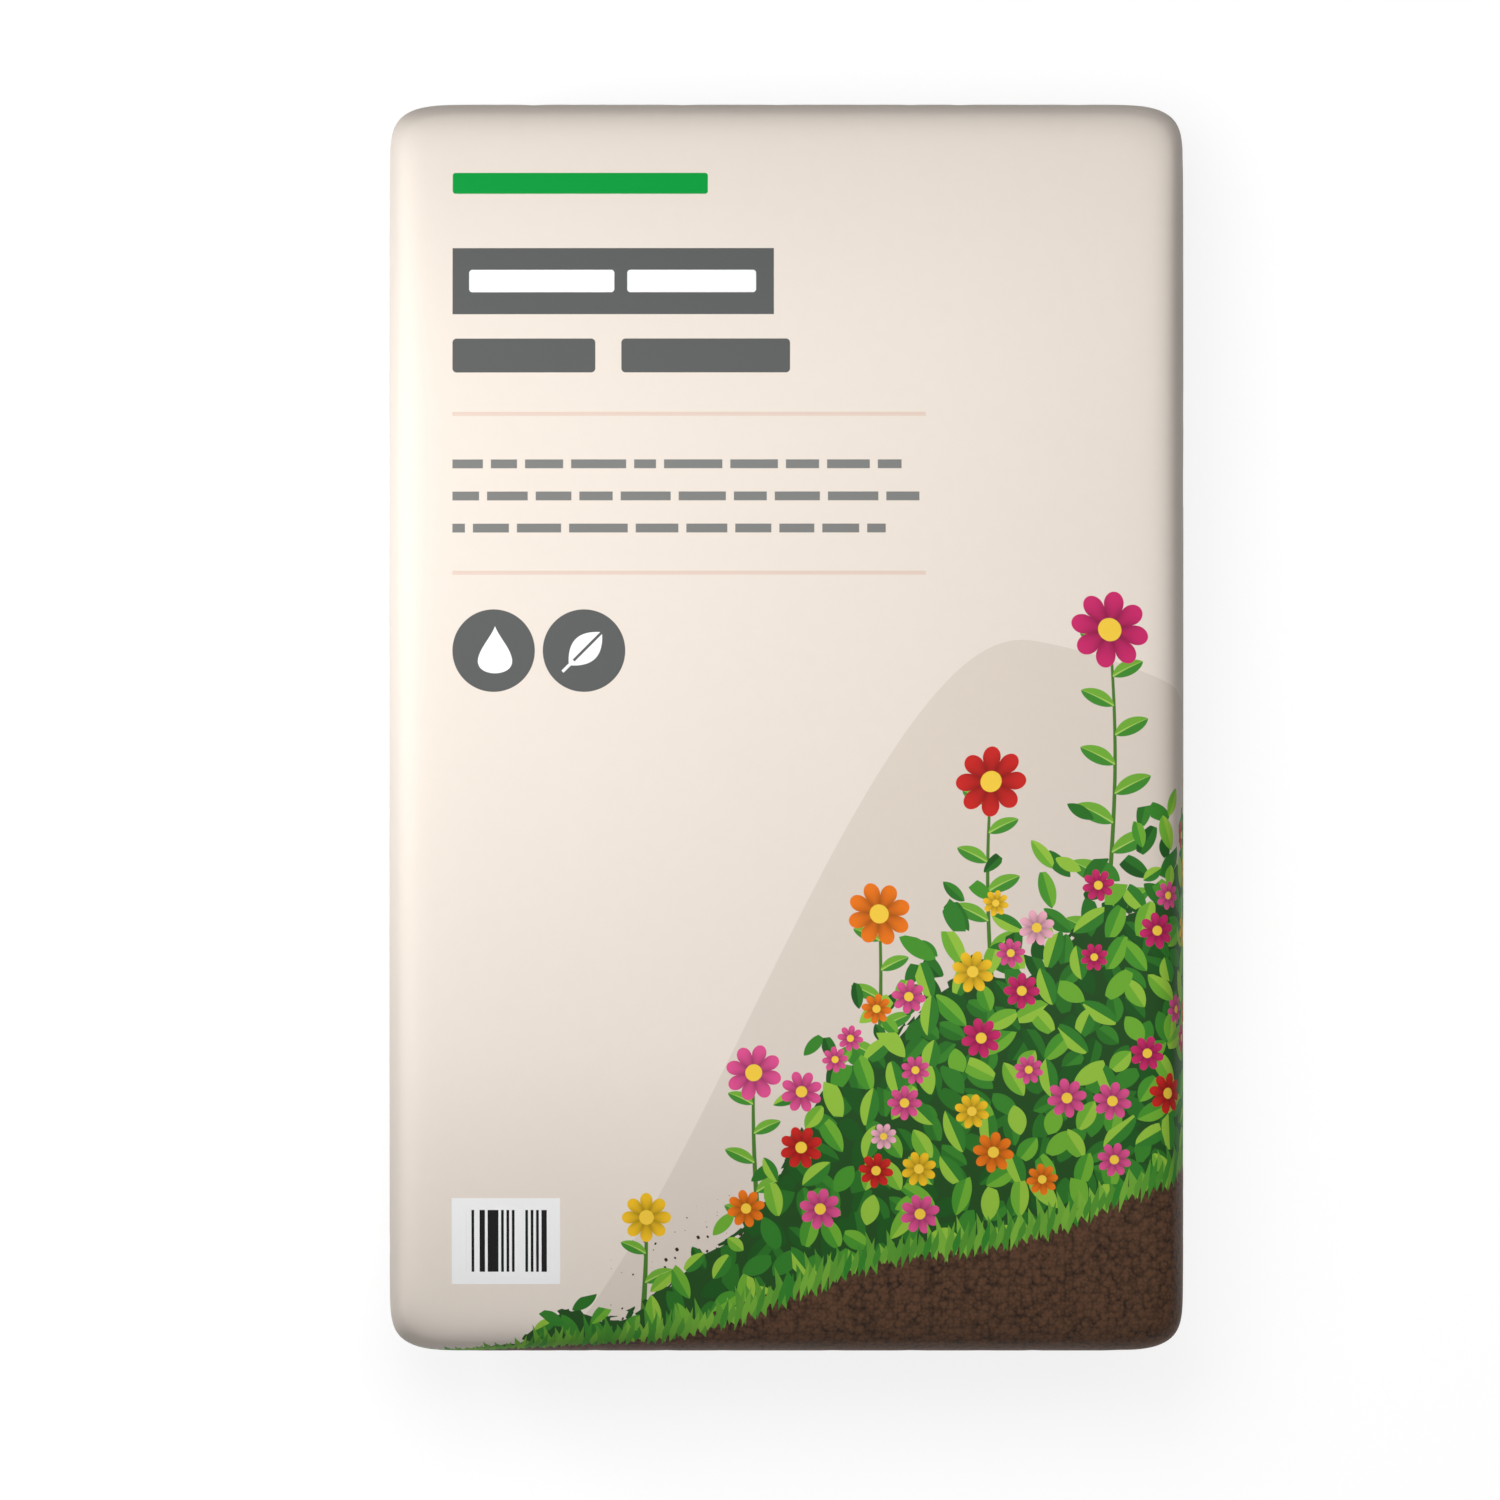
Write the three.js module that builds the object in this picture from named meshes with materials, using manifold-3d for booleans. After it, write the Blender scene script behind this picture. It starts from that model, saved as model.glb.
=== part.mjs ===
// A filled and sealed topsoil bag, lying on its back with the printed front panel up.
// The bag is a polyethylene tube with a gusset fold down each long side. Both ends are welded flat, and
// the weld strips are folded down against the end walls. Film and fill are one solid.
// Millimetres. X runs across the bag, Y along it towards the top of the print, Z up from the resting plane.
import * as THREE from "three";
import { mergeVertices } from "three/addons/utils/BufferGeometryUtils.js";
import Module from "manifold-3d";

// Overall size of the filled bag
const BAG_WIDTH = 340;
const BAG_LENGTH = 534;
const FILL_DEPTH = 128;

// Front panel: how far its middle stands above its edges
const FRONT_CROWN = 12;

// Height at which the lying bag is widest
const WIDEST_HEIGHT = 64;

// Ends: the bag thins towards its welds
const END_DEPTH = 86;
const TAPER_LENGTH = 130; // how far from the end it starts to thin

// Outline of the panels: where the rounding of a corner starts, from the bag's side and from its end
const CORNER_ACROSS = 41;
const CORNER_ALONG = 30;
const CORNER_FULLNESS = 4.5; // superellipse exponent: 2 is an ellipse, more is squarer

// Edges where the panels roll over into the walls
const FRONT_EDGE_ROLL = 26;
const FRONT_EDGE_FULLNESS = 3;
const BACK_EDGE_ROLL = 32;
const BACK_EDGE_FULLNESS = 2.6;

// Seam: the height of the gusset folds down the long sides and of the welds across the ends
const SEAM_HEIGHT = 54;
const GUSSET_DEPTH = 1;
const GUSSET_SPREAD = 3;
const WELD_DRAW = 1.7; // how far the weld pulls the end wall in
const WELD_SPREAD = 15;

// Tucks: near each end the gusset is drawn in between the front and the back panel
const TUCK_DEPTH = 7;
const TUCK_SPREAD = 7;
const TUCK_LENGTH = 84; // how far along the side a tuck reaches from the end
const TUCK_REACH = 34; // how far across the end wall a tuck reaches from the side

// Gathers: upright ripples of the film above the welds
const GATHER_DEPTH = 1.6;
const GATHER_PITCH = 43;
const GATHER_HEIGHT = 24; // how far above the weld they die out

// End seals: welded strips, folded down from the seam against the end walls
const SEAL_WIDTH = 24;
const SEAL_FOLD_HEIGHT = 1; // how far the fold at the top of the strip stands off the wall
const SEAL_EDGE_HEIGHT = 2.4; // how far its free lower edge does
const SEAL_SETBACK = 12; // from the bag's side to the end of the strip
const SEAL_ROOT = 4; // how deep the strip runs into the end wall

// Facets: segments of half a panel's edge, of one corner's half, of an edge roll and of half a wall
const HALF_PANEL = 18;
const HALF_CORNER = 4;
const ROLL_STEPS = 3;
const HALF_WALL = 7;
const WALL_CLUSTER = 1.5; // above 1 puts more rows near the seam
const SEAL_STEPS_ACROSS = 44;
const SEAL_STEPS_DOWN = 6;

const FILM = { color: 0xece2d8, roughness: 0.42, metalness: 0 };

// Values that follow from the sizes above
const HALF_WIDTH = BAG_WIDTH / 2;
const HALF_LENGTH = BAG_LENGTH / 2;
const FRONT_RISE = FILL_DEPTH - FRONT_CROWN - WIDEST_HEIGHT;
const CORNER_SHARE = HALF_CORNER / HALF_PANEL;
const ROLL_SHARE = ROLL_STEPS / HALF_PANEL;

// The two rolled edges of a wall, each a quarter of a superellipse that starts at the widest height
const FRONT_EDGE = { roll: FRONT_EDGE_ROLL, rise: FRONT_RISE, fullness: FRONT_EDGE_FULLNESS };
const BACK_EDGE = { roll: BACK_EDGE_ROLL, rise: -WIDEST_HEIGHT, fullness: BACK_EDGE_FULLNESS };

// A point on a rolled edge by its angle: 0 at the widest height, a right angle where the panel starts
function edgeAt(edge, angle) {
  const inset = edge.roll * (1 - Math.pow(Math.cos(angle), 2 / edge.fullness));
  const height = WIDEST_HEIGHT + edge.rise * Math.pow(Math.sin(angle), 2 / edge.fullness);
  return { inset, height };
}

// How far the plain wall lies inside the outline at a height
function wallInset(height) {
  const edge = height < WIDEST_HEIGHT ? BACK_EDGE : FRONT_EDGE;
  const share = Math.min(1, (height - WIDEST_HEIGHT) / edge.rise);
  return edge.roll * (1 - Math.pow(1 - Math.pow(share, edge.fullness), 1 / edge.fullness));
}

// A point of the outline, drawn in by an inset, for a point (s, t) on the edge of the square from -1 to 1.
// Each side of the square is a straight side of the bag with half a rounded corner at both ends.
function outlinePoint(s, t, inset, shrink = 1) {
  const halfWidth = (HALF_WIDTH - inset) * shrink;
  const halfLength = (HALF_LENGTH - inset) * shrink;
  const across = CORNER_ACROSS * shrink;
  const along = CORNER_ALONG * shrink;
  const onEnd = Math.abs(t) >= Math.abs(s);
  const place = onEnd ? Math.abs(s) : Math.abs(t);
  const straight = 1 - CORNER_SHARE;
  let x = halfWidth;
  let y = halfLength;
  if (place > straight) {
    const turn = ((place - straight) / CORNER_SHARE) * (Math.PI / 4);
    const angle = onEnd ? turn : Math.PI / 2 - turn;
    x += across * (Math.pow(Math.sin(angle), 2 / CORNER_FULLNESS) - 1);
    y += along * (Math.pow(Math.cos(angle), 2 / CORNER_FULLNESS) - 1);
  } else if (onEnd) {
    x = (place / straight) * (halfWidth - across);
  } else {
    y = (place / straight) * (halfLength - along);
  }
  return { x: x * Math.sign(s), y: y * Math.sign(t) };
}

// How far the gusset fold, a tuck or a weld draws the wall in at a place on the outline and a height
function seamInset(place, height) {
  const fromEnd = HALF_LENGTH - Math.abs(place.y);
  const fromSide = HALF_WIDTH - Math.abs(place.x);
  const nearEnd = THREE.MathUtils.smoothstep(TUCK_LENGTH - fromEnd, 0, TUCK_LENGTH);
  const onEndWall = THREE.MathUtils.smoothstep(fromSide, 0, TUCK_REACH);
  const folded = THREE.MathUtils.lerp(GUSSET_DEPTH, TUCK_DEPTH, nearEnd);
  const foldSpread = THREE.MathUtils.lerp(GUSSET_SPREAD, TUCK_SPREAD, nearEnd);
  const depth = THREE.MathUtils.lerp(folded, WELD_DRAW, onEndWall);
  const spread = THREE.MathUtils.lerp(foldSpread, WELD_SPREAD, onEndWall);
  return depth * Math.exp(-Math.pow((height - SEAM_HEIGHT) / spread, 2));
}

// How far the gathers draw an end wall in: two ripples of different pitch, strongest at the weld
function gatherInset(place, height) {
  const above = (height - SEAM_HEIGHT) / GATHER_HEIGHT;
  const fade = above < 0 ? 0 : Math.pow(Math.max(0, 1 - above), 2);
  const fromEnd = HALF_LENGTH - Math.abs(place.y);
  const onEndWall = THREE.MathUtils.smoothstep(CORNER_ALONG - fromEnd, 0, CORNER_ALONG);
  const turns = (2 * Math.PI * place.x) / GATHER_PITCH;
  const ripple = 0.6 * Math.cos(turns + 0.7 * Math.sign(place.y)) + 0.4 * Math.cos(1.37 * turns);
  return GATHER_DEPTH * ripple * fade * onEndWall;
}

// The slow rise of the front panel from its edges to its middle
function crownAt(x, y) {
  return FRONT_CROWN * (1 - Math.pow(x / HALF_WIDTH, 2)) * (1 - Math.pow(y / HALF_LENGTH, 2));
}

// A finished place on the bag: towards the ends every height is drawn closer to the seam
function thinned(x, y, height) {
  const nearEnd = Math.max(0, 1 - (HALF_LENGTH - Math.abs(y)) / TAPER_LENGTH);
  const share = 1 - (1 - END_DEPTH / FILL_DEPTH) * nearEnd * nearEnd;
  return new THREE.Vector3(x, y, SEAM_HEIGHT + (height - SEAM_HEIGHT) * share);
}

// A point of the wall: level runs from -1, half-way round the back edge, to 1, half-way round the front edge
function wallPoint(s, t, level) {
  const farRow = edgeAt(level < 0 ? BACK_EDGE : FRONT_EDGE, Math.PI / 4).height;
  const fromSeam = Math.pow(Math.abs(level), WALL_CLUSTER);
  const height = THREE.MathUtils.lerp(SEAM_HEIGHT, farRow, fromSeam);
  const plain = wallInset(height);
  const place = outlinePoint(s, t, plain);
  const inset = plain + seamInset(place, height) + gatherInset(place, height);
  const { x, y } = outlinePoint(s, t, inset);
  return thinned(x, y, height < WIDEST_HEIGHT ? height : height + crownAt(x, y));
}

// A point of the front or back panel: rings from the middle of the edge roll to the middle of the panel
function panelPoint(u, v, side) {
  const ring = Math.max(Math.abs(u), Math.abs(v));
  const rolled = Math.min(1, (1 - ring) / ROLL_SHARE);
  const { inset, height } = edgeAt(side < 0 ? BACK_EDGE : FRONT_EDGE, (Math.PI / 4) * (1 + rolled));
  const shrink = Math.min(1, ring / (1 - ROLL_SHARE));
  const { x, y } = ring > 0 ? outlinePoint(u / ring, v / ring, inset, shrink) : { x: 0, y: 0 };
  return thinned(x, y, side < 0 ? height : height + crownAt(x, y));
}

// Moves every vertex of a geometry by a rule from its old place to its new one
function reshape(geometry, rule) {
  const position = geometry.getAttribute("position");
  const point = new THREE.Vector3();
  for (let i = 0; i < position.count; i++) {
    point.copy(rule(point.fromBufferAttribute(position, i)));
    position.setXYZ(i, point.x, point.y, point.z);
  }
  return geometry;
}

// The filled bag: a block of many facets, each pressed to its place on a panel or a wall
function filledBag() {
  const block = new THREE.BoxGeometry(2, 2, 2, 2 * HALF_PANEL, 2 * HALF_PANEL, 2 * HALF_WALL);
  return reshape(block, (p) => {
    const onWall = Math.max(Math.abs(p.x), Math.abs(p.y)) > 1 - 1e-6;
    return onWall ? wallPoint(p.x, p.y, p.z) : panelPoint(p.x, p.y, p.z);
  });
}

// The place along an end wall, on the square from -1 to 1, that lies at a distance from the bag's side
function placeFromSide(distance) {
  if (distance >= CORNER_ACROSS) {
    return (1 - CORNER_SHARE) * ((HALF_WIDTH - distance) / (HALF_WIDTH - CORNER_ACROSS));
  }
  const turn = Math.asin(Math.pow(1 - distance / CORNER_ACROSS, CORNER_FULLNESS / 2));
  return Math.min(1, 1 - CORNER_SHARE + CORNER_SHARE * (turn / (Math.PI / 4)));
}

// One end seal: a strip that comes out of the end wall at the seam and lies down against the wall
function endSeal(end) {
  const strip = new THREE.BoxGeometry(2, 1, 1, SEAL_STEPS_ACROSS, 1, SEAL_STEPS_DOWN);
  const reach = placeFromSide(SEAL_SETBACK);
  return reshape(strip, (p) => {
    const height = SEAM_HEIGHT - (0.5 - p.z) * SEAL_WIDTH;
    const place = outlinePoint(p.x * reach, end, wallInset(height));
    const outerFace = THREE.MathUtils.lerp(SEAL_EDGE_HEIGHT, SEAL_FOLD_HEIGHT, 0.5 + p.z);
    const proud = p.y * end > 0 ? outerFace : -SEAL_ROOT;
    const { x, y } = outlinePoint(p.x * reach, end, wallInset(height) + seamInset(place, height) - proud);
    return thinned(x, y, height);
  });
}

const wasm = await Module();
wasm.setup();

// A closed geometry as a solid that can be joined to others
function solidOf(geometry) {
  const bare = new THREE.BufferGeometry();
  bare.setAttribute("position", geometry.getAttribute("position"));
  bare.setIndex(geometry.getIndex());
  const merged = mergeVertices(bare, 1e-4);
  return new wasm.Manifold(
    new wasm.Mesh({
      numProp: 3,
      vertProperties: new Float32Array(merged.getAttribute("position").array),
      triVerts: new Uint32Array(merged.getIndex().array),
    }),
  );
}

// A solid as a geometry
function geometryOf(solid) {
  const mesh = solid.getMesh();
  const geometry = new THREE.BufferGeometry();
  geometry.setAttribute("position", new THREE.BufferAttribute(mesh.vertProperties, 3));
  geometry.setIndex(new THREE.BufferAttribute(mesh.triVerts, 1));
  geometry.computeVertexNormals();
  return geometry;
}

const sealedBag = solidOf(filledBag()).add(solidOf(endSeal(1))).add(solidOf(endSeal(-1)));

const bag = new THREE.Mesh(geometryOf(sealedBag), new THREE.MeshStandardMaterial(FILM));
bag.name = "topsoil_bag";

const part = new THREE.Group();
part.add(bag);

export default part;
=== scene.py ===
# %% [markdown]
# # A filled bag of topsoil
# The real object is a tube of printed polyethylene film with a gusset fold down each long side. It holds
# about twenty litres of damp soil and is welded shut at both ends. It can't stand by itself, so it lies on
# its back and the printed front panel faces up. This lesson makes the film, its folds, its welds and its
# print.

# %% Load the frame
import math
import random
from functools import partialmethod

import bmesh
import bpy
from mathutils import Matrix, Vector, noise


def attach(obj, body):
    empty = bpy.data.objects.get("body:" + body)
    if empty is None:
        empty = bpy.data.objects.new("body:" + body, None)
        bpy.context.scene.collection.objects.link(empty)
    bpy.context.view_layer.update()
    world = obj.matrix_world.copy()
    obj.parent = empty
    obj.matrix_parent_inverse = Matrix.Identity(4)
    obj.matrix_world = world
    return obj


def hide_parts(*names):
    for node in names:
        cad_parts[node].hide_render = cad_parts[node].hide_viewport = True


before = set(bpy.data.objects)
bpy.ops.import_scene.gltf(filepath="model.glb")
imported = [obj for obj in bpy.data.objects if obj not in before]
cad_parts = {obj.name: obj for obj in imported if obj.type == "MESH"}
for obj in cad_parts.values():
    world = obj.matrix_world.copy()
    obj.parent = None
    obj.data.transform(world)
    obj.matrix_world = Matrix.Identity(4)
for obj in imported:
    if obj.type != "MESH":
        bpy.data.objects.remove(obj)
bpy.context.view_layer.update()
MM = 0.001

# %% [markdown]
# ## Camera
# The bag is seen square on from the front, with hardly any perspective. As it lies on its back, the camera
# hangs high above it and looks straight down. An unturned Blender camera already looks down with +Y at the
# top of the picture. A long lens from far away keeps the sides of the bag parallel.

# %% Hang the camera over the front panel
PICTURE_WIDTH = 643.1 * MM
PICTURE_MIDDLE = (-15.6 * MM, -9.6 * MM)
CAMERA_HEIGHT = 12.0
SENSOR_WIDTH = 36.0
WIDEST_HEIGHT = 64 * MM

lens = bpy.data.cameras.new("camera")
lens.sensor_width = SENSOR_WIDTH
lens.lens = SENSOR_WIDTH * CAMERA_HEIGHT / PICTURE_WIDTH
camera = bpy.data.objects.new("camera", lens)
camera.location = (*PICTURE_MIDDLE, WIDEST_HEIGHT + CAMERA_HEIGHT)
bpy.context.scene.collection.objects.link(camera)
bpy.context.scene.camera = camera
print("lens, mm:", round(lens.lens, 1))

# %% [markdown]
# ## The outline of the filled bag
# Seen from the front the bag is a long rectangle with straight sides and full, softly squared corners. A
# circle arc would look machine-cut there. A superellipse turns slowly at first and quickly at the corner's
# middle, as a stretched film does. The outline is a rule that takes a point on the edge of a square, so
# that the same rule can shape every ring of the film. The film's grid has 38 columns on each half of the
# bag, and a corner takes 8 of them.

# %% Rule for the outline
HALF_WIDTH = 170 * MM
HALF_LENGTH = 267 * MM
CORNER_ACROSS = 41 * MM
CORNER_ALONG = 30 * MM
CORNER_FULLNESS = 4.5
HALF_ACROSS, CORNER_COLUMNS = 38, 8
CORNER_SHARE = CORNER_COLUMNS / HALF_ACROSS
EVEN_STEPS = CORNER_FULLNESS / 2


def corner_angle(s, t):
    """The angle round the corner, or None on a straight side."""
    on_end = abs(t) >= abs(s)
    place = abs(s) if on_end else abs(t)
    if place <= 1 - CORNER_SHARE:
        return None
    turn = ((place - 1 + CORNER_SHARE) / CORNER_SHARE) ** EVEN_STEPS * math.pi / 4
    return turn if on_end else math.pi / 2 - turn


def outline_point(s, t, inset, shrink=1.0):
    """A point of the outline, drawn in by an inset, for a point on the edge of the square from -1 to 1."""
    half_x, half_y = HALF_WIDTH - inset, HALF_LENGTH - inset
    angle = corner_angle(s, t)
    x, y = half_x, half_y
    if angle is not None:
        x += CORNER_ACROSS * (math.sin(angle) ** (2 / CORNER_FULLNESS) - 1)
        y += CORNER_ALONG * (math.cos(angle) ** (2 / CORNER_FULLNESS) - 1)
    elif abs(t) >= abs(s):
        x = abs(s) / (1 - CORNER_SHARE) * (half_x - CORNER_ACROSS)
    else:
        y = abs(t) / (1 - CORNER_SHARE) * (half_y - CORNER_ALONG)
    return Vector((math.copysign(x, s) * shrink, math.copysign(y, t) * shrink))


def outward(s, t):
    """The direction that points straight out of the outline."""
    angle = corner_angle(s, t)
    if angle is None:
        across, along = (0, 1) if abs(t) >= abs(s) else (1, 0)
    else:
        power = 2 * (CORNER_FULLNESS - 1) / CORNER_FULLNESS
        across = math.sin(angle) ** power / CORNER_ACROSS
        along = math.cos(angle) ** power / CORNER_ALONG
    return Vector((math.copysign(across, s), math.copysign(along, t))).normalized()


print("outline, corner's middle:", [round(v, 4) for v in outline_point(1, 1, 0)])

# %% [markdown]
# ## Walls, edges and folds
# Soil pushes the film out until the panels crown and their edges roll over into the walls. The roll is a
# quarter of a superellipse again. A little below half-way up the walls runs the seam: the gusset fold on
# the long sides, and the weld on the ends. Near the ends the gusset is tucked in between the two panels,
# and the whole bag thins towards the weld.

# %% Rules for the walls
FILL_DEPTH = 128 * MM
FRONT_CROWN = 12 * MM
FRONT_EDGE = {"roll": 26 * MM, "rise": FILL_DEPTH - FRONT_CROWN - WIDEST_HEIGHT, "fullness": 4.5}
BACK_EDGE = {"roll": 32 * MM, "rise": -WIDEST_HEIGHT, "fullness": 2.6}
SEAM_HEIGHT = 54 * MM
END_DEPTH = 86 * MM
TAPER_LENGTH = 130 * MM

# Depth and spread in millimetres, and how sharply the film turns in.
GUSSET_FOLD = (1.2, 3.0, 1.3)
CORNER_TUCK = (11.0, 8.0, 1.0)
WELD_LINE = (1.7, 15.0, 2.0)
TUCK_LENGTH = 84 * MM
CORNER_LENGTH = 34 * MM


def smooth(t):
    """A soft step from 0 to 1."""
    t = min(1.0, max(0.0, t))
    return t * t * (3 - 2 * t)


def mix(a, b, t):
    """A value between a and b, at a share t of the way."""
    return a + (b - a) * t


def edge_at(edge, angle):
    """Inset and height on a rolled edge: angle 0 at the widest height, a right angle at the panel's rim."""
    inset = edge["roll"] * (1 - math.cos(angle) ** (2 / edge["fullness"]))
    return inset, WIDEST_HEIGHT + edge["rise"] * math.sin(angle) ** (2 / edge["fullness"])


def edge_angle(height):
    """The edge that a wall height belongs to, and its angle there."""
    edge = BACK_EDGE if height < WIDEST_HEIGHT else FRONT_EDGE
    share = min(1.0, (height - WIDEST_HEIGHT) / edge["rise"])
    return edge, math.asin(share ** (edge["fullness"] / 2))


def seam_inset(place, height):
    """How far the gusset fold, a tuck or the weld draws the wall in."""
    near_end = smooth(1 - (HALF_LENGTH - abs(place.y)) / TUCK_LENGTH)
    on_end_wall = smooth((HALF_WIDTH - abs(place.x)) / CORNER_LENGTH)
    depth, spread, sharp = (
        mix(mix(fold, tuck, near_end), weld, on_end_wall)
        for fold, tuck, weld in zip(GUSSET_FOLD, CORNER_TUCK, WELD_LINE))
    return depth * MM * math.exp(-abs((height - SEAM_HEIGHT) / (spread * MM)) ** sharp)


def crown_at(x, y):
    """The slow rise of the front panel towards its middle."""
    return FRONT_CROWN * (1 - (x / HALF_WIDTH) ** 2) * (1 - (y / HALF_LENGTH) ** 2)


def thinned(x, y, height):
    """Near the ends every height is drawn closer to the seam."""
    near_end = max(0.0, 1 - (HALF_LENGTH - abs(y)) / TAPER_LENGTH)
    share = 1 - (1 - END_DEPTH / FILL_DEPTH) * near_end ** 2
    return Vector((x, y, SEAM_HEIGHT + (height - SEAM_HEIGHT) * share))


def wall_point(s, t, height, out=0.0):
    """A point of the wall at a height, or a little way out of it."""
    edge, angle = edge_angle(height)
    plain = edge_at(edge, angle)[0]
    inset = plain + seam_inset(outline_point(s, t, plain), height)
    place = outline_point(s, t, inset) + outward(s, t) * out
    crown = crown_at(*place) if edge is FRONT_EDGE else 0
    return thinned(*place, height + crown)


print("wall at the seam, middle of a long side:", [round(v, 4) for v in wall_point(1, 0, SEAM_HEIGHT)])

# %% [markdown]
# ## The film
# A cube of many faces can be pressed into almost any closed soft form, and it keeps clean rows of quads
# along the walls, which a remeshed lump doesn't have. The cube is cut into a grid first. Then each vertex
# moves to its place on a panel or a wall. Rows crowd together at the seam, where the folds are.

# %% Cut a cube into a grid
HALF_ALONG, HALF_WALL = 48, 10
TINY = 1e-6

film = bmesh.new()
bmesh.ops.create_cube(film, size=2.0)
for axis, pieces in enumerate((2 * HALF_ACROSS, 2 * HALF_ALONG, 2 * HALF_WALL)):
    along = [e for e in film.edges if abs(e.verts[0].co[axis] - e.verts[1].co[axis]) > TINY]
    bmesh.ops.subdivide_edges(film, edges=along, cuts=pieces - 1)
print("film grid:", len(film.verts), "vertices", len(film.faces), "faces")

# %% [markdown]
# The print has to lie on the film as it does on the real bag, also where the film rolls over an edge. Seen
# from the front, a roll hides some of the film's length. So each vertex keeps that spare length as an
# attribute, in millimetres and pointing out of the outline. X and Y plus the spare length give a place on
# the unrolled film. The third number says whether the vertex is on the front half, 1, or on the back half,
# 0, which has no print.

# %% Length of film on the rolled edges
STEPS = 60


def run_table(edge):
    """Lengths of film from the panel's rim, at even steps of the edge's angle."""
    lengths = [0.0]
    for step in range(STEPS):
        here, there = (Vector(edge_at(edge, math.pi / 2 * (1 - k / STEPS))) for k in (step, step + 1))
        lengths.append(lengths[-1] + (there - here).length)
    return lengths


for edge in (FRONT_EDGE, BACK_EDGE):
    edge["runs"] = run_table(edge)


def film_run(edge, angle):
    """Length of film from the panel's rim down to an angle of its edge."""
    place = (1 - angle / (math.pi / 2)) * STEPS
    k = min(int(place), STEPS - 1)
    return mix(edge["runs"][k], edge["runs"][k + 1], place - k)


def spare_film(s, t, edge, inset, run):
    """The length of film that the roll hides, in millimetres, and which half it is on."""
    spare = outward(s, t) * (run - edge["roll"] + inset) / MM
    return Vector((spare.x, spare.y, 1.0 if edge is FRONT_EDGE else 0.0))


print("film on the edges, mm:", [round(edge["runs"][-1] / MM, 1) for edge in (FRONT_EDGE, BACK_EDGE)])

# %% Press the grid into the filled bag
ROLL_COLUMNS = 6
ROLL_SHARE = ROLL_COLUMNS / HALF_ACROSS
ROW_CROWDING = 1.5
EVEN_OUT_POWER = 5
TUCK_FILM = 1.35
film_spare = film.verts.layers.float_vector.new("film_spare")


def wall_vertex(s, t, level):
    """Place and spare film of a wall's vertex. Level runs from -1 at the back panel to 1 at the front."""
    far_height = edge_at(BACK_EDGE if level < 0 else FRONT_EDGE, math.pi / 4)[1]
    height = mix(SEAM_HEIGHT, far_height, abs(level) ** ROW_CROWDING)
    edge, angle = edge_angle(height)
    inset, run = edge_at(edge, angle)[0], film_run(edge, angle)
    tuck = seam_inset(outline_point(s, t, inset), height)
    if edge is BACK_EDGE and level >= 0:
        edge, inset, run = FRONT_EDGE, 0, FRONT_EDGE["runs"][-1] + WIDEST_HEIGHT - height
    return wall_point(s, t, height), spare_film(s, t, edge, inset + tuck * TUCK_FILM, run)


def panel_vertex(u, v, side):
    """Place and spare film of a panel's vertex. Outer rings roll over the edge, and inner ones even out."""
    edge = FRONT_EDGE if side > 0 else BACK_EDGE
    ring = max(abs(u), abs(v), TINY)
    s, t = u / ring, v / ring
    angle = math.pi / 4 * (1 + min(1, (1 - ring) / ROLL_SHARE))
    inset, height = edge_at(edge, angle)
    shrink = min(1, ring / (1 - ROLL_SHARE))
    place = outline_point(s, t, inset, shrink)
    if shrink < 1:
        even = Vector((s * (HALF_WIDTH - inset), t * (HALF_LENGTH - inset))) * shrink
        place = even.lerp(place, shrink ** EVEN_OUT_POWER)
    crown = crown_at(*place) if side > 0 else 0
    return thinned(*place, height + crown), spare_film(s, t, edge, inset, film_run(edge, angle))


for vertex in film.verts:
    u, v, w = vertex.co
    rule = wall_vertex if max(abs(u), abs(v)) > 1 - TINY else panel_vertex
    vertex.co, vertex[film_spare] = rule(u, v, w)

for face in film.faces:
    face.smooth = True
bmesh.ops.recalc_face_normals(film, faces=film.faces)
print("filled bag:", round(film.calc_volume() * 1000, 2), "litres")

# %% [markdown]
# A Subdivision Surface rounds the grid off and doubles its rows. It is turned into plain mesh here, because
# the creases of the next step need the finer rows.

# %% Smooth the film
rough_mesh = bpy.data.meshes.new("bag_film_grid")
film.to_mesh(rough_mesh)
film.free()
bag = bpy.data.objects.new("bag_film", rough_mesh)
bpy.context.scene.collection.objects.link(bag)
smoothing = bag.modifiers.new("smoothing", "SUBSURF")
smoothing.levels = smoothing.render_levels = 1
bag_mesh = bpy.data.meshes.new_from_object(bag.evaluated_get(bpy.context.evaluated_depsgraph_get()))
bag_mesh.name = "bag_film"
bag.modifiers.clear()
bag.data = bag_mesh
bpy.data.meshes.remove(rough_mesh)
print("bag film:", len(bag_mesh.polygons), "faces")

# %% [markdown]
# ## Creases
# Film can't stretch like cloth, so where it is gathered it creases. Pleats run up and down from each weld,
# deeper above it than below. Creases fan out along the sides from the tucked corners, and long ones lie on
# the side walls, below the gusset fold and above it. A cloth simulation could make them, but it bends film
# as softly as a pillowcase. Here each crease is a line on the wall: the film drops to a sharp valley along
# it, and stands up a little on both sides. Lengths are in millimetres. Places along a wall go from -1 at
# one end of it to 1 at the other.

# %% Pleats at the welds
PLEATS_END = 0.94
PLEAT_STEP, PLEAT_SLANT = (0.06, 0.15), (-0.05, 0.05)
PLEAT_UP, PLEAT_DOWN = (24, 50), (30, 52)
PLEAT_DEPTH, PLEAT_WIDTH = (0.8, 3.0), (2.6, 5.0)
PLEAT_UP_STRENGTH = 1.7

dice = random.Random(11)
creases = []


def add_crease(start, end, depth, width):
    """Start and end are each a place round the square, s and t, and a height."""
    creases.append((wall_point(*start), wall_point(*end), depth * MM, width * MM))


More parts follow.
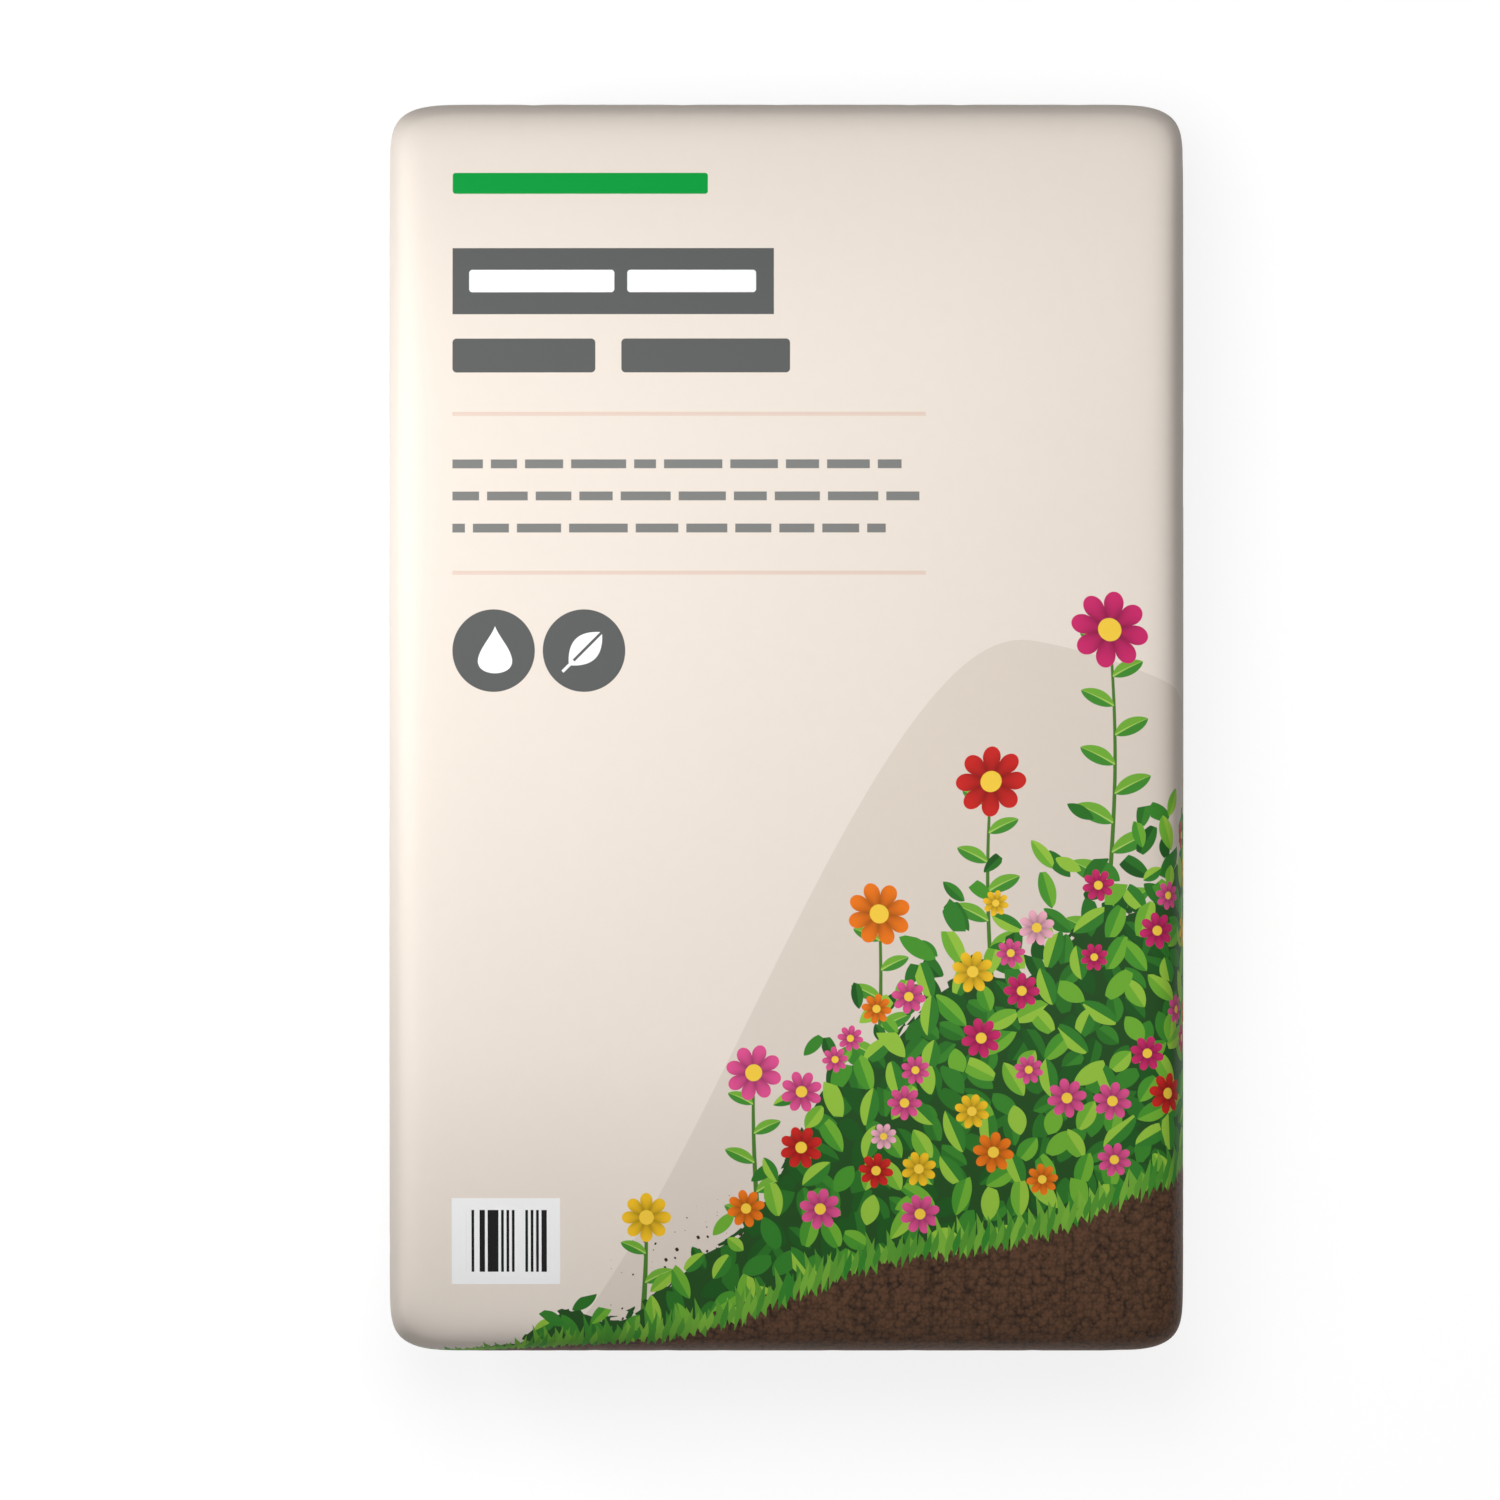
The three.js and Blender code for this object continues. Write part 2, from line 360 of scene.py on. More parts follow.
for end in (-1, 1):
    s = -PLEATS_END
    while s < PLEATS_END:
        for reach in (dice.uniform(*PLEAT_UP), -dice.uniform(*PLEAT_DOWN)):
            slant = dice.uniform(*PLEAT_SLANT)
            strength = PLEAT_UP_STRENGTH if reach > 0 else 1.0
            tip = (max(-1, min(1, s + slant)), end, SEAM_HEIGHT + reach * MM)
            depth = strength * dice.uniform(*PLEAT_DEPTH)
            add_crease((s, end, SEAM_HEIGHT), tip, depth, dice.uniform(*PLEAT_WIDTH))
        s += dice.uniform(*PLEAT_STEP)
print("pleats:", len(creases))

# %% Fans and long creases on the sides
FAN_DROPS = (-47, -36, -26, -17, -9, 9, 18, 29, 40)
FAN_ROOT, FAN_TIP, FAN_STRAY = (0.93, 0.985), (0.52, 0.84), (-4, 4)
FAN_ROOT_SHARE = 0.12
FAN_DEPTH, FAN_WIDTH = (1.6, 4.2), (3.2, 7.0)
FAN_UP_STRENGTH = 0.9
LONG_COUNT, LONG_END = 20, 0.9
LONG_PLACE, LONG_REACH = (-0.8, 0.8), (0.12, 0.4)
LONG_LOW, LONG_HIGH, LONG_CLIMB = (12, 47), (72, 92), (-12, 10)
LONG_DEPTH, LONG_WIDTH = (1.4, 3.8), (3.5, 7.0)

for side in (-1, 1):
    for end in (-1, 1):
        for drop in FAN_DROPS:
            root = (side, end * dice.uniform(*FAN_ROOT), SEAM_HEIGHT + FAN_ROOT_SHARE * drop * MM)
            tip_place = end * dice.uniform(*FAN_TIP)
            tip = (side, tip_place, SEAM_HEIGHT + (drop + dice.uniform(*FAN_STRAY)) * MM)
            strength = 1.0 if drop < 0 else FAN_UP_STRENGTH
            depth = strength * dice.uniform(*FAN_DEPTH)
            add_crease(root, tip, depth, dice.uniform(*FAN_WIDTH))
    for _ in range(LONG_COUNT):
        place = dice.uniform(*LONG_PLACE)
        height = dice.choice((dice.uniform(*LONG_LOW), dice.uniform(*LONG_HIGH)))
        shift = dice.choice((-1, 1)) * dice.uniform(*LONG_REACH)
        tip_place = max(-LONG_END, min(LONG_END, place + shift))
        tip = (side, tip_place, (height + dice.uniform(*LONG_CLIMB)) * MM)
        depth = dice.uniform(*LONG_DEPTH)
        add_crease((side, place, height * MM), tip, depth, dice.uniform(*LONG_WIDTH))
print("creases with those on the sides:", len(creases))

# %% [markdown]
# The creases are pressed in along the film's normals. The lower walls are slack, so they also get soft
# lumps and a net of crumples. Round the widest line, and a little above it where the bag's outline lies,
# the soil pulls the film tight. The creases are held back there, and the outline stays straight.

# %% Press them into the film
LUMP_DEPTH, LUMP_SIZE = 3.4 * MM, 62 * MM
CRUMPLE_DEPTH, COARSE_CRUMPLE, FINE_CRUMPLE = 1.9 * MM, 40 * MM, 19 * MM
SLACK_TOP, SLACK_FADE, FLOOR_FADE = 60 * MM, 20 * MM, 10 * MM
MOST_OUT, MOST_IN, OUT_TOP = 0.8 * MM, 3.6 * MM, 62 * MM
RIDGE_PLACE, RIDGE_WIDTH, RIDGE_HEIGHT = 2.2, 1.1, 0.5
VALLEY_STEEPNESS = 1.1
CREASE_REACH = 5
WALL_FOOT, WALL_TOP = 0.2 * MM, 100 * MM

# Height, reach and hold of each band in which the film is tight.
TIGHT_BANDS = ((WIDEST_HEIGHT, 9 * MM, 0.97), (76 * MM, 10 * MM, 0.7))


def crease_move(place, start, end, depth, width):
    """How far a crease moves the film: a sharp valley with a soft ridge on each side."""
    along = end - start
    share = min(1.0, max(0.0, (place - start).dot(along) / along.length_squared))
    off = (place - start - along * share).length / (width * mix(0.7, 1.3, share))
    if off > CREASE_REACH:
        return 0.0
    fade = (1 - share) * smooth(share * 8)
    ridge = RIDGE_HEIGHT * math.exp(-((off - RIDGE_PLACE) / RIDGE_WIDTH) ** 2)
    return depth * fade * (ridge - math.exp(-off * VALLEY_STEEPNESS))


def crumple(place):
    """A net of soft ridges, as in film that was squeezed and let go."""
    coarse = 1 - 2 * abs(noise.noise(place / COARSE_CRUMPLE))
    fine = 1 - 2 * abs(noise.noise(place / FINE_CRUMPLE + Vector((7, 3, 1))))
    return 0.65 * coarse + 0.35 * fine - 0.5


def film_move(place):
    """How far all of this together moves the film out of its smooth form, or into it."""
    slack = smooth((SLACK_TOP - place.z) / SLACK_FADE) * smooth(place.z / FLOOR_FADE)
    move = slack * (LUMP_DEPTH * noise.noise(place / LUMP_SIZE) + CRUMPLE_DEPTH * crumple(place))
    near = [c for c in creases if (c[0] - place).length < (c[1] - c[0]).length + CREASE_REACH * c[3]]
    free = 1.0
    for height, reach, hold in TIGHT_BANDS:
        free *= 1 - hold * math.exp(-((place.z - height) / reach) ** 2)
    move += free * sum(crease_move(place, *crease) for crease in near)
    if move < 0:
        return MOST_IN * (math.exp(move / MOST_IN) - 1)
    drawn_in = edge_at(*edge_angle(min(place.z, WIDEST_HEIGHT)))[0] if place.z > 0 else 0
    return min(move, (MOST_OUT + 0.5 * drawn_in) * smooth((OUT_TOP - place.z) / SLACK_FADE))


moved = []
for vertex in bag_mesh.vertices:
    if WALL_FOOT < vertex.co.z < WALL_TOP:
        moved.append((vertex, vertex.normal * film_move(vertex.co)))
for vertex, move in moved:
    vertex.co += move
    vertex.co.z = max(0.0, vertex.co.z)
largest = max(move.length for _, move in moved)
print("creased vertices:", len(moved), "largest move, mm:", round(largest / MM, 2))

# %% [markdown]
# ## Welded ends
# A hot bar presses both films together across each end and leaves a flat strip with fine ribs, which then
# folds down against the end wall. A grid is the natural start: one side of it runs across the bag, and the
# other runs out of the seam, over the fold and down to the cut edge. A thickness turns the sheet into a
# closed strip.

# %% Weld a strip across each end
SEAL_WIDTH = 24 * MM
SEAL_ROOT = 4 * MM
SEAL_FOLD = 1.4 * MM
SEAL_FILM = 0.45 * MM
SEAL_REACH = 0.955
RIB_PITCH = 2.0 * MM
RIB_HEIGHT = 0.22 * MM
WELD_BAND = (3 * MM, 14 * MM)
LOOSE_FROM = 2 * MM
SEAL_COLUMNS, SEAL_ROWS = 130, 56
SHARP_ANGLE = 1.0

# How far the loose edge lifts and waves, in millimetres.
SEAL_LIFT, SEAL_WAVE = 1.2, 1.5


def seal_profile(run):
    """How far the strip stands out of the wall, and how far below the seam, at a length from its root."""
    bend = SEAL_FOLD * math.pi / 2
    if run < SEAL_ROOT:
        return run - SEAL_ROOT, 0.0
    if run < SEAL_ROOT + bend:
        angle = (run - SEAL_ROOT) / SEAL_FOLD
        return SEAL_FOLD * math.sin(angle), SEAL_FOLD * (1 - math.cos(angle))
    return SEAL_FOLD, run - SEAL_ROOT - bend + SEAL_FOLD


def seal_strip(name, end):
    """The welded strip of one end, folded down against the wall and loose at its cut edge."""
    strip = bmesh.new()
    bmesh.ops.create_grid(strip, x_segments=SEAL_COLUMNS, y_segments=SEAL_ROWS, size=1.0)
    for vertex in strip.verts:
        across, down = vertex.co.x, (1 - vertex.co.y) / 2
        out, drop = seal_profile(down * (SEAL_ROOT + SEAL_WIDTH))
        if WELD_BAND[0] < drop < WELD_BAND[1]:
            out += RIB_HEIGHT * math.cos(2 * math.pi * drop / RIB_PITCH)
        loose = smooth((drop - LOOSE_FROM) / SEAL_WIDTH)
        long_wave = noise.noise((across * 7, end * 2.0, drop / MM / 40))
        short_wave = noise.noise((across * 19, end, 5.0))
        out += loose * (SEAL_LIFT + SEAL_WAVE * (long_wave + 0.5 * short_wave)) * MM
        s, height = across * SEAL_REACH, SEAM_HEIGHT - drop
        wall = wall_point(s, end, height)
        room = (outline_point(s, end, 0) - wall.xy).length - SEAL_FILM
        if drop > 0:
            out = min(room, max(out, film_move(wall) + SEAL_FILM))
        vertex.co = wall_point(s, end, height, out)
    bmesh.ops.recalc_face_normals(strip, faces=strip.faces)
    if sum(face.normal.y for face in strip.faces) * end < 0:
        bmesh.ops.reverse_faces(strip, faces=strip.faces)
    bmesh.ops.solidify(strip, geom=strip.faces, thickness=SEAL_FILM)
    for face in strip.faces:
        face.smooth = True
    for edge in strip.edges:
        edge.smooth = edge.calc_face_angle(0) < SHARP_ANGLE
    mesh = bpy.data.meshes.new(name)
    strip.to_mesh(mesh)
    strip.free()
    piece = bpy.data.objects.new(name, mesh)
    bpy.context.scene.collection.objects.link(piece)
    return piece


seals = [seal_strip("top_seal", 1), seal_strip("bottom_seal", -1)]
print("seals:", [(seal.name, len(seal.data.polygons)) for seal in seals])

# %% [markdown]
# ## Formulas as nodes
# The print is made of formulas, so that it stays sharp at any size. A Math node holds one step of a
# formula, and a leaf needs thirty of them. A small class lets Python's own signs add the nodes. Most of its
# methods are the same one with the name of a Math operation filled in, which is what partialmethod does.

# %% A field of values
SOFT_EDGE = 0.18


class Field:
    """A number that varies over the film. Arithmetic on it adds Math nodes."""

    def __init__(self, tree, socket):
        self.tree, self.socket = tree, socket

    def math_node(self, operation, *others, clamp=False):
        """A Math node with this field as its first number."""
        node = self.tree.nodes.new("ShaderNodeMath")
        node.operation, node.use_clamp = operation, clamp
        for slot, value in zip(node.inputs, (self, *others)):
            if isinstance(value, Field):
                self.tree.links.new(value.socket, slot)
            else:
                slot.default_value = value
        return Field(self.tree, node.outputs[0])

    __add__ = partialmethod(math_node, "ADD")
    __sub__ = partialmethod(math_node, "SUBTRACT")
    __mul__ = partialmethod(math_node, "MULTIPLY")
    __truediv__ = partialmethod(math_node, "DIVIDE")
    __abs__ = partialmethod(math_node, "ABSOLUTE")
    floor = partialmethod(math_node, "FLOOR")
    power = partialmethod(math_node, "POWER")
    root = partialmethod(math_node, "SQRT")
    sine = partialmethod(math_node, "SINE")
    cosine = partialmethod(math_node, "COSINE")
    angle_from = partialmethod(math_node, "ARCTAN2")
    least = partialmethod(math_node, "MINIMUM")
    most = partialmethod(math_node, "MAXIMUM")
    over = partialmethod(math_node, "GREATER_THAN")
    under = partialmethod(math_node, "LESS_THAN")

    def flipped(self):
        """What the field lacks to 1."""
        return (self * -1) + 1

    def inside(self):
        """1 where a distance to an edge is negative, with an edge that is soft over a hair's width."""
        return self.math_node("MULTIPLY_ADD", -1 / SOFT_EDGE, 0.5, clamp=True)

    def ramp(self, low, high):
        """A soft step from 0 at low to 1 at high."""
        node = self.tree.nodes.new("ShaderNodeMapRange")
        node.interpolation_type = "SMOOTHSTEP"
        self.tree.links.new(self.socket, node.inputs["Value"])
        node.inputs["From Min"].default_value, node.inputs["From Max"].default_value = low, high
        return Field(self.tree, node.outputs["Result"])


def new_group(name, inputs, outputs):
    """A node group with number inputs and outputs, and a Film input for the place on the film."""
    tree = bpy.data.node_groups.new(name, "ShaderNodeTree")
    tree.interface.new_socket("Film", in_out="INPUT", socket_type="NodeSocketVector")
    for label in inputs:
        tree.interface.new_socket(label, in_out="INPUT", socket_type="NodeSocketFloat")
    for label in outputs:
        tree.interface.new_socket(label, in_out="OUTPUT", socket_type="NodeSocketFloat")
    start, end = tree.nodes.new("NodeGroupInput"), tree.nodes.new("NodeGroupOutput")
    split = tree.nodes.new("ShaderNodeSeparateXYZ")
    tree.links.new(start.outputs["Film"], split.inputs[0])
    x, y = Field(tree, split.outputs[0]), Field(tree, split.outputs[1])
    values = [Field(tree, start.outputs[label]) for label in inputs]

    def give(**fields):
        """Links fields to the outputs of the group."""
        for label, field in fields.items():
            tree.links.new(field.socket, end.inputs[label])

    return tree, x, y, values, give


def chance(field, seed):
    """A fixed random number from 0 to 1 for each whole number of a field."""
    node = field.tree.nodes.new("ShaderNodeTexWhiteNoise")
    node.noise_dimensions = "2D"
    combine = field.tree.nodes.new("ShaderNodeCombineXYZ")
    field.tree.links.new(field.socket, combine.inputs[0])
    combine.inputs[1].default_value = seed
    field.tree.links.new(combine.outputs[0], node.inputs["Vector"])
    return Field(field.tree, node.outputs["Value"])


print("fields ready, soft edge", SOFT_EDGE, "mm")

# %% [markdown]
# ## Simple printed shapes
# Bars, discs and panels are the plainest fields of colour. Each is a distance to the shape's edge: negative
# inside, positive outside. The distance to a rounded bar is the distance to a smaller sharp bar, less the
# corner's radius.

# %% Bar, disc and rows of short bars
SLOT_WIDTH, HALF_GAP, RAGGED_END = 21, 1.7, 26
ROW_COUNT = 3

bar_group, x, y, (left, bottom, width, height, corner), give = new_group(
    "printed bar", ["Left", "Bottom", "Width", "Height", "Corner"], ["Mask"])
beside = (abs(x - left - width * 0.5) - width * 0.5 + corner).most(0)
above = (abs(y - bottom - height * 0.5) - height * 0.5 + corner).most(0)
give(Mask=((beside * beside + above * above).root() - corner).inside())

disc_group, x, y, (centre_x, centre_y, radius), give = new_group(
    "printed disc", ["X", "Y", "Radius"], ["Mask"])
x, y = x - centre_x, y - centre_y
give(Mask=((x * x + y * y).root() - radius).inside())

rows_group, x, y, (left, top, pitch, length, thickness), give = new_group(
    "printed rows", ["Left", "Top", "Pitch", "Length", "Thickness"], ["Mask"])
row = ((y * -1 + top) / pitch).floor()
in_row = abs(y * -1 + top - row * pitch - thickness * 0.5) - thickness * 0.5
along = x - left
slot = (along / SLOT_WIDTH).floor()
gap = (slot + chance(slot + row * 37, 4.0) * 0.55 + 0.2) * SLOT_WIDTH
off_gap = (abs(along - gap) * -1) + HALF_GAP
row_end = length - chance(row, 9.0) * RAGGED_END
give(Mask=in_row.inside() * off_gap.inside() * (along - row_end).inside() * (along * -1).inside()
     * row.over(-0.5) * row.under(ROW_COUNT - 0.5))
print("groups:", bar_group.name, disc_group.name, rows_group.name)

# %% Leaf and drop for the discs
leaf_sign, x, y, (centre_x, centre_y, size), give = new_group(
    "printed leaf sign", ["X", "Y", "Size"], ["Mask"])
x, y = (x - centre_x) / size, (y - centre_y) / size
along, across = (x + y) * math.sqrt(0.5), (x - y) * math.sqrt(0.5)
blade = (abs(across) + along * along * 0.62 - 0.56) * size
rib = (abs(across) - 0.055) * size
stalk = ((abs(across) - 0.06).most(abs(along + 1.0) - 0.32)) * size
give(Mask=(blade.inside() * rib.inside().flipped()).most(stalk.inside()))

drop_sign, x, y, (centre_x, centre_y, size), give = new_group(
    "printed drop sign", ["X", "Y", "Size"], ["Mask"])
x, y = (x - centre_x) / size, (y - centre_y) / size
belly = (y * y * -1 + 1).most(0).root() * y.flipped() * 0.55
give(Mask=((abs(x) - belly) * size + SOFT_EDGE).inside())
print("signs:", leaf_sign.name, drop_sign.name)

# %% [markdown]
# ## A printed garden
# The lower right of the front carries a garden picture: a bank of dark soil with a grassy edge, low leaves
# and flowers over it, and a row of stems that grow taller to the right. Each kind is one formula that is
# repeated. The film is split into cells, and each cell knows its own middle and a few random numbers, so
# each leaf gets its own turn, size and green. A flower is never wider than its cell has room for, so that
# none is cut off.

# %% Split the film into cells
BANK_LEVEL, BANK_SLOPE = -240.0, 0.29
CELL_DISORDER = 0.85


def bank_edge(x):
    """Height of the soil's edge across the film."""
    return x * BANK_SLOPE + BANK_LEVEL + (x * 0.045).sine() * 3.5


def meadow_depth(x):
    """How high the low leaves stand above the soil's edge."""
    wave = (x * 0.11).sine() * 7 + (x * 0.043).sine() * 9
    return x.ramp(-95, 120) * 158 + (x.ramp(-135, -85) * 14 + wave * x.ramp(-135, -70))


def cells(x, y, pitch, seed, feature="F1"):
    """A texture node that splits the film into cells about a pitch wide."""
    tree = x.tree
    join, node = tree.nodes.new("ShaderNodeCombineXYZ"), tree.nodes.new("ShaderNodeTexVoronoi")
    node.voronoi_dimensions, node.feature = "2D", feature
    node.inputs["Scale"].default_value = 1 / pitch
    node.inputs["Randomness"].default_value = CELL_DISORDER
    tree.links.new((x + seed).socket, join.inputs[0])
    tree.links.new(y.socket, join.inputs[1])
    tree.links.new(join.outputs[0], node.inputs["Vector"])
    return node


def cell_room(x, y, pitch, seed):
    """The radius of the disc round a cell's middle that just fits in the cell."""
    return Field(x.tree, cells(x, y, pitch, seed, "N_SPHERE_RADIUS").outputs["Radius"]) * pitch


def scatter(x, y, pitch, seed):
    """The place from the middle of the nearest cell, that middle, and three random numbers of the cell."""
    tree = x.tree
    spot, numbers = tree.nodes.new("ShaderNodeSeparateXYZ"), tree.nodes.new("ShaderNodeSeparateColor")
    cell = cells(x, y, pitch, seed)
    tree.links.new(cell.outputs["Position"], spot.inputs[0])
    tree.links.new(cell.outputs["Color"], numbers.inputs[0])
    middle_x, middle_y = Field(tree, spot.outputs[0]) - seed, Field(tree, spot.outputs[1])
    chances = [Field(tree, numbers.outputs[k]) for k in range(3)]
    return x - middle_x, y - middle_y, middle_x, middle_y, chances


print("soil edge climbs", BANK_SLOPE, "mm for each mm across")

# %% Low leaves
LEAF_SWING = 2.3
SMALLER_WITHIN = 24


def leaf_layer(name, pitch, length, seed):
    """Scattered leaves that point up and out, and are smaller at the top of the meadow."""
    group, x, y, _, give = new_group(name, [], ["Mask", "Tone", "Half"])
    side, up, middle_x, middle_y, (turn, size, tone) = scatter(x, y, pitch, seed)
    turn = (turn - 0.5) * LEAF_SWING
    cosine, sine = turn.cosine(), turn.sine()
    above_soil = middle_y - bank_edge(middle_x)
    below_top = meadow_depth(middle_x) * (size * 0.35 + 0.7) - above_soil
    fit = below_top.ramp(0, SMALLER_WITHIN) * 0.3 + 0.7
    along = (side * sine + up * cosine) / (fit * (size * 0.45 + 0.6) * length) + 0.5
    across = side * cosine - up * sine
    half_width = (along * along.flipped()).most(0).power(0.8) * fit * (length * 0.62)
    present = below_top.over(0) * above_soil.over(-8)
    give(Mask=(abs(across) - half_width + SOFT_EDGE).inside() * present, Tone=tone, Half=across.over(0))
    return group


low_leaves = leaf_layer("printed low leaves", 11.0, 19.0, 40.0)
high_leaves = leaf_layer("printed high leaves", 13.0, 20.0, 400.0)
print("leaf groups:", low_leaves.name, high_leaves.name)

# %% Low flowers
FLOWER_PITCH, FLOWER_SEED = 25.0, 900.0
SMALLEST_FLOWER = 4.5

flower_group, x, y, _, give = new_group("printed flowers", [], ["Petals", "Eye", "Kind", "Depth"])
side, up, middle_x, middle_y, (turn, size, kind) = scatter(x, y, FLOWER_PITCH, FLOWER_SEED)
room = cell_room(x, y, FLOWER_PITCH, FLOWER_SEED)
from_eye = (side * side + up * up).root()
wave = abs((up.angle_from(side) * 4 + turn * 6).cosine())
radius = (size * 3.6 + 5.6).least(room)
above_soil = middle_y - bank_edge(middle_x)
in_meadow = (above_soil - meadow_depth(middle_x) * 0.92).under(0) * above_soil.over(12)
present = in_meadow * room.over(SMALLEST_FLOWER)
give(Petals=(from_eye - radius * (wave.power(0.6) * 0.45 + 0.55)).inside() * present,
     Eye=(from_eye - radius * 0.27).inside() * present, Kind=kind,
     Depth=(from_eye / radius) * 0.8 + wave * 0.2)
print("flower group:", len(flower_group.nodes), "nodes")

# %% Bank of soil, with grass on its edge and crumbs thrown over it
CRUMB_PITCH, LARGEST_CRUMB = 4.6, 2.7
CLOD_LAYERS = ((1.7, 75.0, 0.5), (3.6, 50.0, 0.6))
GRASS_LAYERS = ((4.3, 13.0), (3.1, 9.0))
RAGGED_EDGE = 6

soil_group, x, y, _, give = new_group(
    "printed soil", [], ["Bank", "Grass", "Blade", "Crumbs", "Clods", "Shade"])
over_bank = y - bank_edge(x)
side, up, _, _, (size, lean, _) = scatter(x, y, CRUMB_PITCH, 0.0)
crumb = (abs(side) + abs(up + side * (lean - 0.5)) * 0.7).most(abs(up) * 1.1)
reach = size.power(2.2) * over_bank.ramp(74, 0) * x.ramp(-105, -20) * LARGEST_CRUMB
crumbs = (crumb - reach + SOFT_EDGE).inside()

clods = None
for pitch, seed, share in CLOD_LAYERS:
    side, up, _, _, (size, tone, _) = scatter(x, y, pitch, seed)
    from_middle = (side * side + up * up).root() / pitch
    clod = (from_middle.ramp(0.1, 0.75) * (size * 0.6 + 0.4) + (tone - 0.5) * 0.5) * share
    clods = clod if clods is None else clods + clod
ragged = (size - 0.5) * RAGGED_EDGE
bank = (over_bank + ragged).inside()

grass, tone = None, None
for layer, (blade_width, tallest) in enumerate(GRASS_LAYERS):
    lean = x + over_bank * (0.25 - 0.5 * layer)
    blade = (lean / blade_width).floor()
    from_rib = abs(lean / blade_width - blade - 0.5) * 2
    reach = chance(blade, 2.0 + layer) * 0.65 + 0.35
    mask = (over_bank - reach * from_rib.flipped() * tallest).inside()
    mask = mask * (over_bank * -1 - 2 - reach * from_rib.flipped() * 7).inside()
    shade = chance(blade, 5.0 + layer)
    grass = mask if grass is None else grass.most(mask)
    tone = shade if tone is None else tone * mask.flipped() + shade * mask
shade = (over_bank - meadow_depth(x) * 0.7 + ragged).inside()
give(Bank=bank, Grass=grass, Blade=tone, Crumbs=crumbs, Clods=clods, Shade=shade)
print("soil group:", len(soil_group.nodes), "nodes")

# %% Tall stems, each in its own strip
STRIP, FIRST_STEM, LAST_STEM = 50.0, -62.0, 4
SHORTEST_STEM, STEM_GROWTH = 53, 48
STOREY = 25.0
LEAF_TURN = 0.56

plant_group, x, y, _, give = new_group(
    "printed stems", [], ["Stem", "Leaf", "Vein", "Half", "Petals", "Eye", "Kind", "Depth"])
number = ((x - FIRST_STEM) / STRIP + 0.5).floor().most(0).least(LAST_STEM)
stem_x = number * STRIP + FIRST_STEM
foot = bank_edge(stem_x) - 3
tall = number * STEM_GROWTH + SHORTEST_STEM
up = y - foot
side = x - stem_x - (up * 0.03 + number * 2.1).sine() * 2.2
stem = (abs(side) - (up / tall).flipped() * 0.9 - 0.55).inside() * up.over(0) * up.under(tall)

climb = up - 9 + side.over(0) * (STOREY / 2)
storey = (climb / STOREY).floor()
out, lift = abs(side), climb - storey * STOREY - 3.5
size = ((up / (tall + 30)).flipped() * 0.55 + 0.5) * (number * 2.4 + 15.5)
share = (out * math.cos(LEAF_TURN) + lift * math.sin(LEAF_TURN)) / size
breadth = lift * math.cos(LEAF_TURN) - out * math.sin(LEAF_TURN) + share * share * 1.6
half_width = (share * share.flipped()).most(0).power(0.72) * size * 0.62
leaf = (abs(breadth) - half_width + SOFT_EDGE).inside() * storey.over(0.5) * (climb - tall + 8).inside()
vein = (abs(breadth) - share.flipped() * 0.34 - 0.06).inside() * leaf

up = up - tall
from_eye = (side * side + up * up).root()
wave = abs((up.angle_from(side) * 4 + number).cosine())
radius = number * 1.5 + 10.5
give(Stem=stem, Leaf=leaf, Vein=vein, Half=breadth.over(0), Kind=number,
     Petals=(from_eye - radius * (wave.power(0.55) * 0.42 + 0.58)).inside(),
     Eye=(from_eye - radius * 0.3).inside(), Depth=(from_eye / radius) * 0.75 + wave * 0.25)
print("stem group:", len(plant_group.nodes), "nodes")

# %% [markdown]
# ## The skin of the film
# Blown film is satin, not glossy: its face has a very fine grain and faint stretch streaks, and the grit
# inside presses small bumps into it. Plain and printed film have the same skin, so it is a node group that
# every film material shares. It puts out a roughness, a height and a slight tint, and each material feeds
# the height to its own Bump node.

# %% Film skin group
skin_group = bpy.data.node_groups.new("film skin", "ShaderNodeTree")
skin_group.interface.new_socket("Place", in_out="INPUT", socket_type="NodeSocketVector")
for label in ("Roughness", "Height", "Tint"):
    skin_group.interface.new_socket(label, in_out="OUTPUT", socket_type="NodeSocketFloat")
start, end = skin_group.nodes.new("NodeGroupInput"), skin_group.nodes.new("NodeGroupOutput")


def grain(size, detail, stretch=(1, 1, 1)):
    """Noise over the film, with grains of about a size in millimetres."""
    mapping = skin_group.nodes.new("ShaderNodeMapping")
    mapping.inputs["Scale"].default_value = [1 / MM / size * s for s in stretch]
    texture = skin_group.nodes.new("ShaderNodeTexNoise")
    texture.inputs["Scale"].default_value = 1.0
    texture.inputs["Detail"].default_value = detail
    skin_group.links.new(start.outputs["Place"], mapping.inputs["Vector"])
    skin_group.links.new(mapping.outputs["Vector"], texture.inputs["Vector"])
    return Field(skin_group, texture.outputs[0])


grit, fine, slow = grain(7, 2), grain(1.1, 1), grain(90, 2, (1, 0.5, 1))
for label, field in (("Roughness", fine * 0.12 + slow * 0.16 + 0.42),
                     ("Height", grit * 0.7 + fine * 0.3), ("Tint", slow * 0.5 + grit * 0.5)):
    skin_group.links.new(field.socket, end.inputs[label])
print("skin group:", len(skin_group.nodes), "nodes")

# %% [markdown]
# ## Printed film
# The film is warm beige polyethylene with a satin face. Inks lie on it one over the other, as a press lays
# them. A Mix node does that: it takes the colour so far and puts an ink over it where a mask says so. Three
# materials share the bag: plain film, the label's inks and the garden's inks. Each face uses only the one
# it needs, which keeps the render quick.

# %% A film that takes ink
def ink(*levels):
    """A colour as a paint program names it, turned into the linear values that nodes use."""
    return tuple((c / 255 + 0.055) ** 2.4 / 1.055 ** 2.4 for c in levels) + (1.0,)


